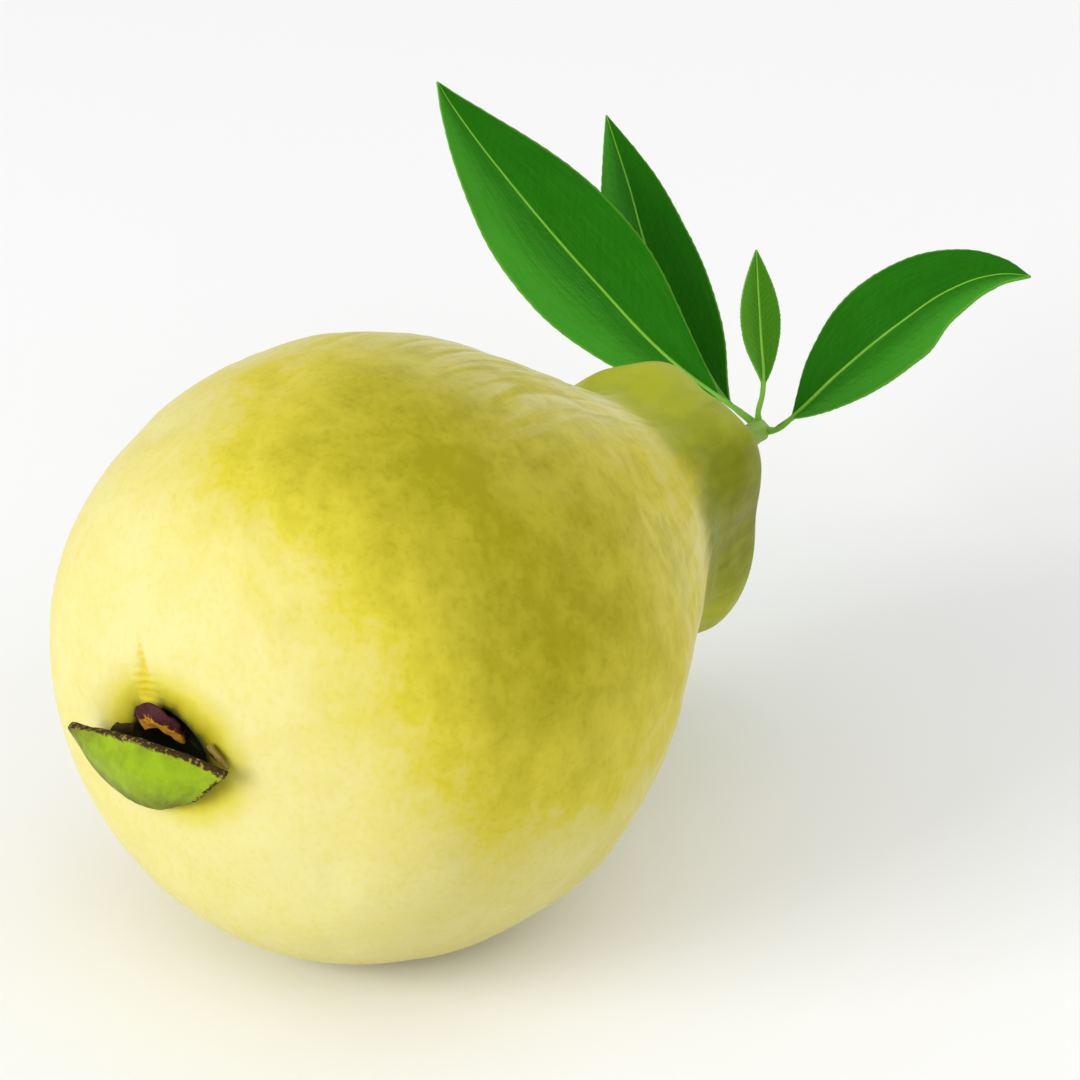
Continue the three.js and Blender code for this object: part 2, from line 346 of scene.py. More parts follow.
class GuavaLeafSettings(bpy.types.PropertyGroup):
    """Sizes and colours of the leaves"""

    thickness: length("Thickness", "Thickness of a blade", 0.4 * MM)
    petiole_radius: length("Leaf stalk radius", "Radius of a leaf stalk", 0.6 * MM)
    tooth_height: length("Tooth height", "Height of the small teeth on the edges", 0.14 * MM)
    ripple_height: length("Ripple height", "How far the edges swing up and down", 0.4 * MM)
    puff_height: length("Puff height", "How far the blade puffs up between its veins", 0.3 * MM)
    vein_spacing: length("Vein spacing", "Distance between side veins", 1.7 * MM)
    # Each lit and shaded pair below is one green, with painted light on one half and painted shade on
    # the other.
    leaf_lit: colour("Leaf light", "Paler half of a grown leaf", (0.052, 0.32, 0.016))
    leaf_shaded: colour("Leaf dark", "Darker half of a grown leaf", (0.011, 0.145, 0.0005))
    under_lit: colour("Underside light", "Paler half of an underside", (0.13, 0.33, 0.06))
    under_shaded: colour("Underside dark", "Darker half of an underside", (0.09, 0.26, 0.04))
    young_lit: colour("Young light", "Paler half of the young leaf", (0.085, 0.30, 0.014))
    young_shaded: colour("Young dark", "Darker half of the young leaf", (0.055, 0.22, 0.006))
    rib_green: colour("Rib green", "Midribs, veins and edges", (0.19, 0.46, 0.035))


class GuavaStageSettings(bpy.types.PropertyGroup):
    """The camera, the lights and the floor"""

    azimuth: angle("Azimuth", "Turn of the camera around the fruit", 35.33)
    elevation: angle("Elevation", "Height of the camera above level", 28)
    distance: length("Distance", "From the camera to the point it looks at", 600 * MM)
    lens: FloatProperty(name="Lens", description="Focal length in millimetres", default=166)
    key_power: power("Key light", "Power of the main light", 9)
    fill_power: power("Fill light", "Power of each of the other lights", 2)
    sky: FloatProperty(name="Sky", description="Strength of the white world", default=0.72)
    floor: colour("Floor", "The pale floor", (0.9, 0.9, 0.9))


# ---- Modelling helpers ---------------------------------------------------------------------


def only(*pieces):
    """Makes these objects the only ones that operators act on."""
    bpy.ops.object.select_all(action="DESELECT")
    for piece in pieces:
        piece.select_set(True)
    bpy.context.view_layer.objects.active = pieces[0]


@contextmanager
def edit_mode(piece):
    """Opens a piece for mesh operators with all of it selected, and closes it afterwards."""
    only(piece)
    bpy.ops.object.mode_set(mode="EDIT")
    bpy.ops.mesh.select_all(action="SELECT")
    yield
    bpy.ops.object.mode_set(mode="OBJECT")


def in_mm(points):
    return [Vector(point) * MM for point in points]


def smooth_line(name, points, steps):
    """A curve that runs smoothly through the points, with so many steps from each to the next."""
    bpy.ops.object.select_all(action="DESELECT")
    bpy.ops.curve.primitive_bezier_curve_add()
    line = bpy.context.object
    line.name = name
    line.data.resolution_u = steps
    knots = line.data.splines[0].bezier_points
    knots.add(len(points) - len(knots))
    for knot, point in zip(knots, points):
        knot.co = point
        knot.handle_left_type = "AUTO"
        knot.handle_right_type = "AUTO"
    return line


def make_round(line, radius, resolution):
    """Gives a line a round section and closed ends."""
    line.data.bevel_depth = radius
    line.data.bevel_resolution = resolution
    line.data.use_fill_caps = True


def as_mesh(piece):
    only(piece)
    bpy.ops.object.convert(target="MESH")
    return bpy.context.object


def merge_and_face_outwards(piece):
    with edit_mode(piece):
        bpy.ops.mesh.remove_doubles(threshold=MERGE_DISTANCE)
        bpy.ops.mesh.normals_make_consistent(inside=False)


def turned(name, outline, steps, sides):
    """A closed body turned about the Y axis from an outline of (radius, place along Y)."""
    body = as_mesh(smooth_line(name, [(radius, along, 0) for radius, along in outline], steps))
    with edit_mode(body):
        bpy.ops.mesh.spin(steps=sides, angle=math.tau, center=(0, 0, 0), axis=(0, 1, 0))
    merge_and_face_outwards(body)
    return body


def modify(piece, kind, **settings):
    """Adds a modifier with these settings and applies it."""
    only(piece)
    modifier = piece.modifiers.new(kind.title(), kind)
    for name, value in settings.items():
        setattr(modifier, name, value)
    bpy.ops.object.modifier_apply(modifier=modifier.name)


def subdivide(piece):
    modify(piece, "SUBSURF", levels=1, render_levels=1)


def press(piece, depth, share, direction="NORMAL"):
    """Moves the surface by depth along a direction, times share(place), which is from 0 to 1."""
    group = piece.vertex_groups.new(name="press")
    for vertex in piece.data.vertices:
        weight = share(vertex.co)
        if weight > 0:
            group.add([vertex.index], weight, "REPLACE")
    modify(
        piece, "DISPLACE", direction=direction, strength=depth, mid_level=0, vertex_group=group.name
    )
    piece.vertex_groups.clear()


def select_where(piece, wanted):
    """In edit mode, selects the vertices whose place is wanted."""
    bpy.ops.mesh.select_all(action="DESELECT")
    bpy.ops.mesh.select_mode(type="VERT")
    mesh = bmesh.from_edit_mesh(piece.data)
    for vertex in mesh.verts:
        vertex.select = wanted(vertex.co)
    mesh.select_flush_mode()
    bmesh.update_edit_mesh(piece.data)


def place(piece, matrix):
    """Moves a piece, and keeps the place in its mesh, with its object at the origin."""
    only(piece)
    piece.matrix_world = matrix
    bpy.ops.object.transform_apply(location=True, rotation=True, scale=True)


def join(piece, *others):
    only(piece, *others)
    bpy.ops.object.join()


def sheet_between(name, first, second, steps, cuts):
    """A sheet bridged from one line of points to another.

    Its attribute lie says how far along the lines (X) and how far across (Y) each place is.
    """
    first_line = as_mesh(smooth_line(name, first, steps))
    second_line = as_mesh(smooth_line(name, second, steps))
    first_edge = [vertex.co.copy() for vertex in first_line.data.vertices]
    second_edge = [vertex.co.copy() for vertex in second_line.data.vertices]
    join(first_line, second_line)
    with edit_mode(first_line):
        bpy.ops.mesh.bridge_edge_loops(number_cuts=cuts, interpolation="LINEAR")
    rungs = list(zip(first_edge, second_edge))
    places = KDTree(len(rungs) * (cuts + 2))
    lies = []
    for i, (start, end) in enumerate(rungs):
        for j in range(cuts + 2):
            across = j / (cuts + 1)
            places.insert(start.lerp(end, across), len(lies))
            lies.append((i / (len(rungs) - 1), across, 0))
    places.balance()
    note(first_line, "lie", [lies[places.find(v.co)[1]] for v in first_line.data.vertices])
    return first_line


def note(piece, name, vectors):
    """Writes a vector on every vertex, for the materials to read."""
    attribute = piece.data.attributes.new(name, "FLOAT_VECTOR", "POINT")
    for entry, vector in zip(attribute.data, vectors):
        entry.vector = vector


def hand_over(piece, node):
    """Lets a finished piece ride on the one body, in place of a node."""
    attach(piece, "root")
    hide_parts(node)


def smoothstep(value, start, end):
    """0 before the start, 1 after the end, and a smooth rise between."""
    share = min(1, max(0, (value - start) / (end - start)))
    return share * share * (3 - 2 * share)


def window(value, rise_start, rise_end, fall_start, fall_end):
    """1 between the rise and the fall, and 0 outside them."""
    return smoothstep(value, rise_start, rise_end) * (1 - smoothstep(value, fall_start, fall_end))


def bell(value, reach):
    """1 at 0, falling smoothly to almost nothing two reaches away."""
    return math.exp(-((value / reach) ** 2))


def grain(vector):
    """Smooth noise from 0 to 1."""
    return min(1, max(0, 0.5 + 0.5 * noise.noise(vector)))


# ---- Material helpers ----------------------------------------------------------------------


def add_node(tree, kind, inputs=None, **settings):
    """Adds a node. An input is a value, or another node's output to link from."""
    made = tree.nodes.new(kind)
    for name, value in settings.items():
        setattr(made, name, value)
    for name, value in (inputs or {}).items():
        if isinstance(value, bpy.types.NodeSocket):
            tree.links.new(value, made.inputs[name])
        else:
            made.inputs[name].default_value = value
    return made


def maths(tree, operation, *values, clamp=False):
    inputs = dict(enumerate(values))
    return add_node(tree, "ShaderNodeMath", inputs, operation=operation, use_clamp=clamp).outputs[0]


def plus(tree, first, second, clamp=False):
    return maths(tree, "ADD", first, second, clamp=clamp)


def minus(tree, first, second):
    return maths(tree, "SUBTRACT", first, second)


def times(tree, first, second):
    return maths(tree, "MULTIPLY", first, second)


def swing(tree, value, size):
    """Takes a value around 0.5 to one that swings around 0, as far as the size says."""
    return times(tree, minus(tree, value, 0.5), size)


def fade(tree, value, start, end, low=0.0, high=1.0):
    """Runs smoothly from low at the start to high at the end. The start may be the higher."""
    inputs = {"Value": value, 1: start, 2: end, 3: low, 4: high}
    return add_node(tree, "ShaderNodeMapRange", inputs, interpolation_type="SMOOTHSTEP").outputs[0]


def blend(tree, factor, first, second):
    """Mixes two colours."""
    inputs = {0: factor, 6: first, 7: second}
    return add_node(tree, "ShaderNodeMix", inputs, data_type="RGBA").outputs[2]


def ramp(tree, value, stops):
    """A colour that runs through the stops, each a position and a colour or a grey."""
    node = add_node(tree, "ShaderNodeValToRGB", {"Fac": value})
    elements = node.color_ramp.elements
    while len(elements) < len(stops):
        elements.new(0.5)
    for element, (position, shade) in zip(elements, stops):
        element.position = position
        element.color = (shade, shade, shade, 1) if isinstance(shade, (int, float)) else shade
    return node.outputs[0]


def combine(tree, x=0.0, y=0.0, z=0.0):
    return add_node(tree, "ShaderNodeCombineXYZ", {"X": x, "Y": y, "Z": z}).outputs[0]


def split(tree, vector):
    return add_node(tree, "ShaderNodeSeparateXYZ", {0: vector}).outputs


def noted(tree, name):
    """The vector that note wrote under this name."""
    return add_node(tree, "ShaderNodeAttribute", attribute_name=name).outputs["Vector"]


def object_place(tree):
    return add_node(tree, "ShaderNodeTexCoord").outputs["Object"]


def clouds(tree, vector, scale, detail=3.0, distortion=0.0):
    """Noise around 0.5."""
    inputs = {"Vector": vector, "Scale": scale, "Detail": detail, "Distortion": distortion}
    return add_node(tree, "ShaderNodeTexNoise", inputs).outputs["Fac"]


def bump(tree, height, distance, normal=None):
    """A normal from a height, on top of another normal if one is given."""
    inputs = {"Height": height, "Distance": distance, "Strength": 1.0}
    if normal is not None:
        inputs["Normal"] = normal
    return add_node(tree, "ShaderNodeBump", inputs).outputs[0]


def new_material(name, **constants):
    """A material with its shader, whose constants are set on the shader's own sockets."""
    material = bpy.data.materials.new(name)
    material.use_nodes = True
    tree = material.node_tree
    shader = tree.nodes["Principled BSDF"]
    for socket, value in constants.items():
        shader.inputs[socket.replace("_", " ")].default_value = value
    return material, tree, shader


def wire(tree, shader, base, roughness, normal):
    """Links what changes over the surface to the shader."""
    tree.links.new(base, shader.inputs["Base Color"])
    tree.links.new(roughness, shader.inputs["Roughness"])
    tree.links.new(normal, shader.inputs["Normal"])


def use_group(tree, name, build, vector, size):
    """Places a node group, which is built once. build(group, its inputs) names its results."""
    group = bpy.data.node_groups.get(name)
    if group is None:
        group = bpy.data.node_groups.new(name, "ShaderNodeTree")
        for socket, kind in (("Vector", "NodeSocketVector"), ("Size", "NodeSocketFloat")):
            group.interface.new_socket(socket, in_out="INPUT", socket_type=kind)
        results = build(group, group.nodes.new("NodeGroupInput").outputs)
        for socket in results:
            group.interface.new_socket(socket, in_out="OUTPUT", socket_type="NodeSocketFloat")
        leave = group.nodes.new("NodeGroupOutput")
        for socket, result in results.items():
            group.links.new(result, leave.inputs[socket])
    inputs = {"Vector": vector, "Size": size}
    return add_node(tree, "ShaderNodeGroup", inputs, node_tree=group).outputs


def blotches(tree, vector, size):
    """Soft patches of several sizes, as pigment makes them, and small specks."""

    def build(group, given):
        spot = given["Vector"]
        scale = maths(group, "DIVIDE", 1.0, given["Size"])
        broad = clouds(group, spot, scale, detail=2.0)
        middle = clouds(group, spot, times(group, scale, 3.1), detail=4.0, distortion=0.4)
        fine = clouds(group, spot, times(group, scale, 11.0))
        patches = plus(group, times(group, broad, 0.55), times(group, middle, 0.45))
        return {
            "Patches": fade(group, patches, 0.33, 0.67),
            "Specks": fade(group, fine, 0.45, 0.75),
        }

    return use_group(tree, "Blotches", build, vector, size)


def fine_grain(tree, vector, size):
    """The small unevenness of a plant's skin, as a height from 0 to 1."""

    def build(group, given):
        scale = maths(group, "DIVIDE", 1.0, given["Size"])
        inputs = {"Vector": given["Vector"], "Scale": scale}
        cells = add_node(group, "ShaderNodeTexVoronoi", inputs, feature="SMOOTH_F1")
        waves = clouds(group, given["Vector"], times(group, scale, 0.3), detail=4.0)
        return {
            "Height": plus(
                group, times(group, cells.outputs["Distance"], 0.4), times(group, waves, 0.6)
            )
        }

    return use_group(tree, "Fine grain", build, vector, size)["Height"]


# ---- Fruit ---------------------------------------------------------------------------------


def fruit_placement(sizes):
    """Takes the fruit's own frame, where Y is the distance from the flower end, to where it lies."""
    return (
        Matrix.Translation((0, 0, sizes.axis_height))
        @ Matrix.Rotation(-sizes.neck_droop, 4, "X")
        @ Matrix.Translation((0, -sizes.rest_station, 0))
    )


def fold_knob(body):
    """Moves the skin of the knob in and out, so that it is lobed and flatter on one side."""
    for vertex in body.data.vertices:
        point = vertex.co
        turn = math.degrees(math.atan2(point.x, point.z))
        height = sum(
            rise * bell((turn - middle + 180) % 360 - 180, spread)
            for middle, spread, rise in KNOB_FOLDS
        )
        growth = 1 + height * MM * bell(point.y - KNOB_STATION, KNOB_REACH) / KNOB_RADIUS
        point.x *= growth
        point.z *= growth


def add_unevenness(body, sizes):
    """Broad lumps, small dents, and wrinkles that run lengthwise from the belly to the neck."""

    def lumps(point):
        return grain(point / (26 * MM))

    def wrinkles(point):
        around = Vector((point.x, 0, point.z)).normalized()
        drift = 0.6 * noise.noise(point / (12 * MM))
        ridges = noise.noise(Vector((around.x * 8 + drift, point.y / (30 * MM), around.z * 8)))
        finer = noise.noise(Vector((around.x * 17, point.y / (16 * MM), around.z * 17 + drift)))
        height = min(1, max(0, 0.5 + 0.6 * ridges + 0.35 * finer))
        return height * window(point.y, 22 * MM, 45 * MM, 84 * MM, 96 * MM)

    def dents(point):
        return smoothstep(grain(point / (7 * MM)), 0.5, 0.9)

    press(body, sizes.lump_height, lumps)
    press(body, sizes.wrinkle_height, wrinkles)
    press(body, -sizes.dent_depth, dents)
    press(body, -sizes.lump_height / 2, lambda point: 1)


def add_flower_end(body, sizes):
    """The hollow inside the calyx, its puckered surroundings and the crease above it."""
    centre = fruit_placement(sizes).inverted() @ PIT_CENTRE

    def reach(point):
        """How far a place is from the hollow's centre: 1 at its edge, and much at the neck."""
        if point.y > FLOWER_END_REACH:
            return 9
        return math.hypot(
            (point.x - centre.x) / PIT_RADII[0], (point.z - centre.z) / PIT_RADII[1]
        )

    def puckers(point):
        turn = math.atan2(point.x - centre.x, point.z - centre.z)
        folds = 0.5 + 0.5 * math.cos(8 * turn + 2 * math.sin(2 * turn))
        return folds * window(reach(point), 0.9, 1.4, 1.6, 3.2)

    def from_crease(point):
        """How far a place is from the crease, and how far above the hollow's centre, in mm."""
        upwards = (point.z - centre.z) / MM
        line = CREASE_START - CREASE_SLANT * upwards
        return (point.x - centre.x) / MM - line, upwards

    def crease(point):
        if point.y > FLOWER_END_REACH:
            return 0
        sideways, upwards = from_crease(point)
        width = 1.7 - 0.11 * upwards
        return bell(sideways, width) * window(upwards, 4, 6, 9, 13)

    def crease_folds(point):
        if point.y > FLOWER_END_REACH:
            return 0
        sideways, upwards = from_crease(point)
        level = upwards - CREASE_SLANT * sideways
        folds = 0.5 + 0.5 * math.cos(math.tau * level / CREASE_STEP)
        return folds * bell(sideways, 2.0) * window(upwards, 4.6, 5.6, 8, 10)

    press(body, BASIN_DEPTH, lambda point: bell(reach(point), 2.1), "Y")
    press(body, -PUCKER_HEIGHT, puckers, "Y")
    press(body, CREASE_DEPTH, crease, "Y")
    press(body, CREASE_FOLD_DEPTH, crease_folds, "Y")
    press(body, PIT_DEPTH, lambda point: 1 - smoothstep(reach(point), 0.55, 0.97), "Y")


def add_stalk_dimple(body):
    """The dimple in the middle of the knob."""
    end = FRUIT_OUTLINE[-1][1] * MM

    def dimple(point):
        away = math.hypot(point.x, point.z)
        at_end = smoothstep(point.y, end - 8 * MM, end - 6 * MM)
        return at_end * (1 - smoothstep(away, 0.3 * DIMPLE_RADIUS, 1.1 * DIMPLE_RADIUS))

    press(body, -DIMPLE_DEPTH, dimple, "Y")


def towards(tree, around, degrees):
    """How much a side faces a direction, in degrees from the top towards +X: 1 to -1."""
    turn = math.radians(degrees)
    inputs = {0: around, 1: (math.sin(turn), 0, math.cos(turn))}
    return add_node(tree, "ShaderNodeVectorMath", inputs, operation="DOT_PRODUCT").outputs["Value"]


def lengthwise_streaks(tree, around, station, density):
    """Noise drawn out along the fruit, finer across it with a higher density."""
    parts = split(tree, around)
    x = times(tree, parts["X"], density)
    z = times(tree, parts["Z"], density)
    stretched = combine(tree, x, times(tree, station, 5.0), z)
    return clouds(tree, stretched, 1.0, detail=4.0, distortion=0.6)


def shade_crease(tree, parts, base, sizes):
    """Colours the line above the hollow, along the pressed crease."""
    centre = fruit_placement(sizes).inverted() @ PIT_CENTRE
    upwards = maths(tree, "DIVIDE", minus(tree, parts["Z"], centre.z), MM)
    sideways = maths(tree, "DIVIDE", minus(tree, parts["X"], centre.x), MM)
    line = minus(tree, CREASE_START, times(tree, upwards, CREASE_SLANT))
    away = maths(tree, "ABSOLUTE", minus(tree, sideways, line))
    level = minus(tree, upwards, times(tree, sideways, CREASE_SLANT))
    spot = combine(tree, sideways, level)
    width = fade(tree, upwards, 4.0, 11.5, 2.9, 0.6)
    ragged = swing(tree, clouds(tree, spot, 0.8), 1.2)
    mask = fade(tree, plus(tree, maths(tree, "DIVIDE", away, width), ragged), 1.0, 0.25)
    folds = {"Vector": spot, "Scale": math.tau / (20 * CREASE_STEP), "Distortion": 2.0}
    lines = add_node(tree, "ShaderNodeTexWave", folds, bands_direction="Y").outputs["Fac"]
    mask = times(tree, mask, fade(tree, lines, 0.0, 1.0, 0.5, 1.0))
    mask = times(tree, mask, fade(tree, upwards, 3.5, 4.5))
    mask = times(tree, mask, fade(tree, upwards, 13.0, 9.0))
    mask = times(tree, mask, fade(tree, parts["Y"], FLOWER_END_REACH, 0.8 * FLOWER_END_REACH))
    return blend(tree, mask, base, sizes.crease)


def shade_hollow(tree, spot, base, sizes):
    """Paints shade inside the hollow, and paints olive shade on the sunken skin around it."""
    centre = fruit_placement(sizes).inverted() @ PIT_CENTRE
    radii = (PIT_RADII[0], 3 * PIT_RADII[0], PIT_RADII[1])
    inputs = {"Vector": spot, "Location": centre, "Scale": radii}
    inside = add_node(tree, "ShaderNodeMapping", inputs, vector_type="TEXTURE").outputs[0]
    reach = add_node(tree, "ShaderNodeVectorMath", {0: inside}, operation="LENGTH").outputs["Value"]
    reach = plus(tree, reach, swing(tree, clouds(tree, spot, 0.3 / MM), 0.35))
    # Painted shade: a dark rim on the sunken skin around the hollow, and near black inside it.
    rim_shades = [(0.0, sizes.rim_shade_inner), (0.22, sizes.rim_shade_middle), (0.6, sizes.rim_shade_outer)]
    tint = ramp(tree, minus(tree, reach, 1.0), rim_shades)
    rim_shaded = blend(tree, fade(tree, reach, 2.2, 1.35), base, tint)
    hollow_shade = fade(tree, reach, 1.10, 0.90)
    return blend(tree, hollow_shade, rim_shaded, sizes.hollow), times(tree, hollow_shade, 0.9)


def make_skin(sizes):
    """Cream at the flower end, yellow and olive on the sunny side, green at the knob."""
    material, tree, shader = new_material(
        "guava_skin",
        IOR=1.42,
        Specular_IOR_Level=0.10,
        Subsurface_Weight=0.12,
        Subsurface_Scale=2 * MM,
        Subsurface_Radius=(1.0, 0.85, 0.25),
        Coat_Roughness=0.22,
        Sheen_Weight=0.03,
        Sheen_Roughness=0.45,
    )
    to_fruit = fruit_placement(sizes).inverted()
    inputs = {
        "Vector": object_place(tree),
        "Location": to_fruit.to_translation(),
        "Rotation": to_fruit.to_euler(),
    }
    spot = add_node(tree, "ShaderNodeMapping", inputs).outputs[0]
    parts = split(tree, spot)
    station = maths(tree, "DIVIDE", parts["Y"], FRUIT_OUTLINE[-1][1] * MM)
    flat = {0: combine(tree, parts["X"], z=parts["Z"])}
    around = add_node(tree, "ShaderNodeVectorMath", flat, operation="NORMALIZE").outputs[0]
    patches = blotches(tree, spot, 9 * MM)
    shift = swing(tree, patches["Patches"], 0.26)
    streaks = lengthwise_streaks(tree, around, station, STREAK_DENSITY)
    neck_streaks = swing(tree, streaks, fade(tree, station, 0.45, 0.65))

    sunny = fade(tree, towards(tree, around, SUNNY_SIDE), 0.15, 1.02, 0.16, 1.0)
    tone = times(tree, ramp(tree, station, RIPENESS), sunny)
    tone = plus(tree, tone, times(tree, neck_streaks, -1.1))
    tone = plus(tree, tone, times(tree, shift, fade(tree, tone, 0.0, 0.5, 0.45, 1.0)))
    tone = plus(tree, tone, times(tree, patches["Specks"], 0.10), clamp=True)
    body = ramp(tree, tone, [(0.0, sizes.cream), (0.5, sizes.yellow), (1.0, sizes.olive)])

    # Bloom: real pale streaks along the top, with a painted sheen that lightens them further.
    thin_streaks = lengthwise_streaks(tree, around, station, BLOOM_AND_SHEEN_DENSITY)
    bloom_and_sheen = times(tree, fade(tree, thin_streaks, 0.30, 0.64), fade(tree, station, 0.28, 0.5))
    at_top = fade(tree, towards(tree, around, BLOOM_AND_SHEEN_SIDE), 0.80, 0.99, 0.0, 0.85)
    body = blend(tree, times(tree, bloom_and_sheen, at_top), body, sizes.bloom_and_sheen)

    # Painted shade on the knob's side turned from the light, over a somewhat darker green.
    shade = plus(tree, fade(tree, towards(tree, around, KNOB_SHADED_SIDE), 0.4, 1.2), shift)
    shade = plus(tree, shade, times(tree, neck_streaks, -0.7), clamp=True)
    knob = blend(tree, shade, sizes.knob_light, sizes.knob_dark_and_shade)
    border = plus(tree, station, swing(tree, streaks, 0.16))
    base = blend(tree, fade(tree, border, 0.70, 0.83), body, knob)
    base, hollow_shade = shade_hollow(tree, spot, base, sizes)
    base = shade_crease(tree, parts, base, sizes)

    gloss = fade(tree, patches["Patches"], 0.0, 1.0, 0.40, 0.52)
    pores = bump(tree, fine_grain(tree, spot, 0.9 * MM), 0.10 * MM)
    normal = bump(tree, neck_streaks, 0.15 * MM, pores)
    wire(tree, shader, base, maths(tree, "MAXIMUM", gloss, hollow_shade), normal)
    tree.links.new(fade(tree, streaks, 0.3, 0.7, 0.08, 0.0), shader.inputs["Coat Weight"])
    return material


class GUAVA_OT_fruit(bpy.types.Operator):
    """Turn the fruit from its outline and press its hollows, folds and wrinkles into it"""

    bl_idname = "guava.fruit"
    bl_label = "Fruit"

    def execute(self, context):
        sizes = context.scene.guava_fruit
        outline = [(radius * MM, station * MM) for radius, station in FRUIT_OUTLINE]
        body = turned("fruit_body", outline, steps=9, sides=sizes.sides)
        subdivide(body)
        fold_knob(body)
        add_unevenness(body, sizes)
        add_flower_end(body, sizes)
        add_stalk_dimple(body)
        place(body, fruit_placement(sizes))
        with edit_mode(body):
            select_where(body, lambda point: point.z < 0)
            bpy.ops.transform.resize(value=(1, 1, 0), center_override=(0, 0, 0))
        bpy.ops.object.shade_smooth()
        body.data.materials.append(make_skin(sizes))
        hand_over(body, "fruit")
        return {"FINISHED"}


# ---- Calyx ---------------------------------------------------------------------------------


def make_green_lobe(colours):
    """Bright green, with painted shade towards its foot and one end, and a ragged dried edge."""
    material, tree, shader = new_material(
        "calyx_green", Subsurface_Weight=0.1, Subsurface_Scale=1 * MM, Specular_IOR_Level=0.12
    )
    spot = object_place(tree)
    parts = split(tree, noted(tree, "lie"))
    ragged = swing(tree, clouds(tree, spot, 1.2 / MM), 0.12)
    along = plus(tree, parts["X"], ragged)
    across = plus(tree, parts["Y"], ragged)
    fibres = combine(tree, parts["X"], times(tree, parts["Y"], 0.25))
    streaks = clouds(tree, fibres, 14.0, detail=4.0)
    # Painted shade towards the foot and one end, under real patches and fibre streaks.
    dark = maths(tree, "MAXIMUM", fade(tree, across, 0.45, 0.0), fade(tree, along, 0.4, 0.0))
    patches = blotches(tree, spot, 5 * MM)["Patches"]
    dark = plus(tree, times(tree, dark, 0.8), times(tree, patches, 0.25))
    dark = plus(tree, dark, swing(tree, streaks, 1.1), clamp=True)
    green = blend(tree, dark, colours.lobe_green, colours.lobe_shade)
    edge = maths(tree, "MAXIMUM", fade(tree, across, 0.94, 0.98), fade(tree, along, 0.972, 0.99))
    edge = maths(tree, "MAXIMUM", edge, fade(tree, along, 0.05, 0.0))
    worn = fade(tree, clouds(tree, spot, 1.8 / MM, detail=4.0), 0.53, 0.64)
    base = blend(tree, edge, green, blend(tree, worn, colours.dry_brown, colours.dry_tan))
    wrinkles = fine_grain(tree, spot, 0.6 * MM)
    normal = bump(tree, wrinkles, 0.15 * MM, bump(tree, streaks, 0.3 * MM))
    wire(tree, shader, base, fade(tree, edge, 0.0, 1.0, 0.5, 0.85), normal)
    return material


def make_dried(name, colours, foot_colour, rim_colour):
    """Dried plant matter that changes colour from the foot of a lobe to its free edge."""
    material, tree, shader = new_material(name, Specular_IOR_Level=0.2)
    spot = object_place(tree)
    patches = blotches(tree, spot, 1.6 * MM)
    across = split(tree, noted(tree, "lie"))["Y"]
    across = plus(tree, across, swing(tree, patches["Patches"], 0.4))
    base = blend(tree, fade(tree, across, 0.35, 0.6), foot_colour, rim_colour)
    base = blend(tree, times(tree, patches["Specks"], 0.5), base, colours.dry_speck)
    fibres = bump(tree, fine_grain(tree, spot, 0.35 * MM), 0.2 * MM)
    wire(tree, shader, base, fade(tree, patches["Patches"], 0.0, 1.0, 0.6, 0.9), fibres)
    return material


def lobe(name, shape, thickness, roughness):
    """A calyx lobe, bulged outwards in the middle, with a ragged free edge."""
    sheet = sheet_between(name, in_mm(shape["foot"]), in_mm(shape["rim"]), steps=10, cuts=14)
    outwards = Vector(shape["outwards"]).normalized()
    lies = [Vector(entry.vector) for entry in sheet.data.attributes["lie"].data]
    group = sheet.vertex_groups.new(name="middle")
    for index, lie in enumerate(lies):
        group.add([index], math.sin(math.pi * lie.x) * math.sin(math.pi * lie.y), "REPLACE")
    for axis, part in zip("XYZ", outwards):
        if part:
            depth = part * shape["crown"] * MM
            modify(
                sheet, "DISPLACE", direction=axis, strength=depth, mid_level=0, vertex_group="middle"
            )
    sheet.vertex_groups.clear()
    subdivide(sheet)
    press(sheet, roughness, lambda point: grain(point / (1.3 * MM)), "Z")
    press(sheet, roughness, lambda point: grain(point / (2.2 * MM) + Vector((7, 3, 5))), "Y")
    modify(sheet, "SOLIDIFY", thickness=thickness, offset=0, use_even_offset=False)
    subdivide(sheet)
    merge_and_face_outwards(sheet)
    bpy.ops.object.shade_smooth()
    return sheet


def stamen_tuft():
    """What is left of the flower: a bundle of dried threads in the hollow."""
    threads = []
    low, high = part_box("dried_stamens")
    middle = (low + high) / 2
    for index in range(STAMEN_COUNT):
        turn = math.tau * index * GOLDEN_SHARE
        spread = math.sqrt((index + 0.5) / STAMEN_COUNT)
        root = middle + Vector(
            (
                STAMEN_SPREAD[0] * spread * math.cos(turn),
                STAMEN_ROOT,
                STAMEN_SPREAD[1] * spread * math.sin(turn),
            )
        )
        other_noise = noise.noise(root / MM + Vector((9, 9, 9)))
        lean = Vector((noise.noise(root / MM), -1, 0.6 * other_noise))
        tip = root + lean * (1.7 + 0.6 * math.sin(3 * index)) * MM
        sway = Vector((0.3 * math.sin(5 * index), 0, 0.3 * math.cos(4 * index))) * MM
        thread = smooth_line("thread", [root, (root + tip) / 2 + sway, tip], 4)
        make_round(thread, STAMEN_RADIUS, 1)
        threads.append(as_mesh(thread))
    join(*threads)
    threads[0].name = "stamen_tuft"
    merge_and_face_outwards(threads[0])
    bpy.ops.object.shade_smooth()
    return threads[0]


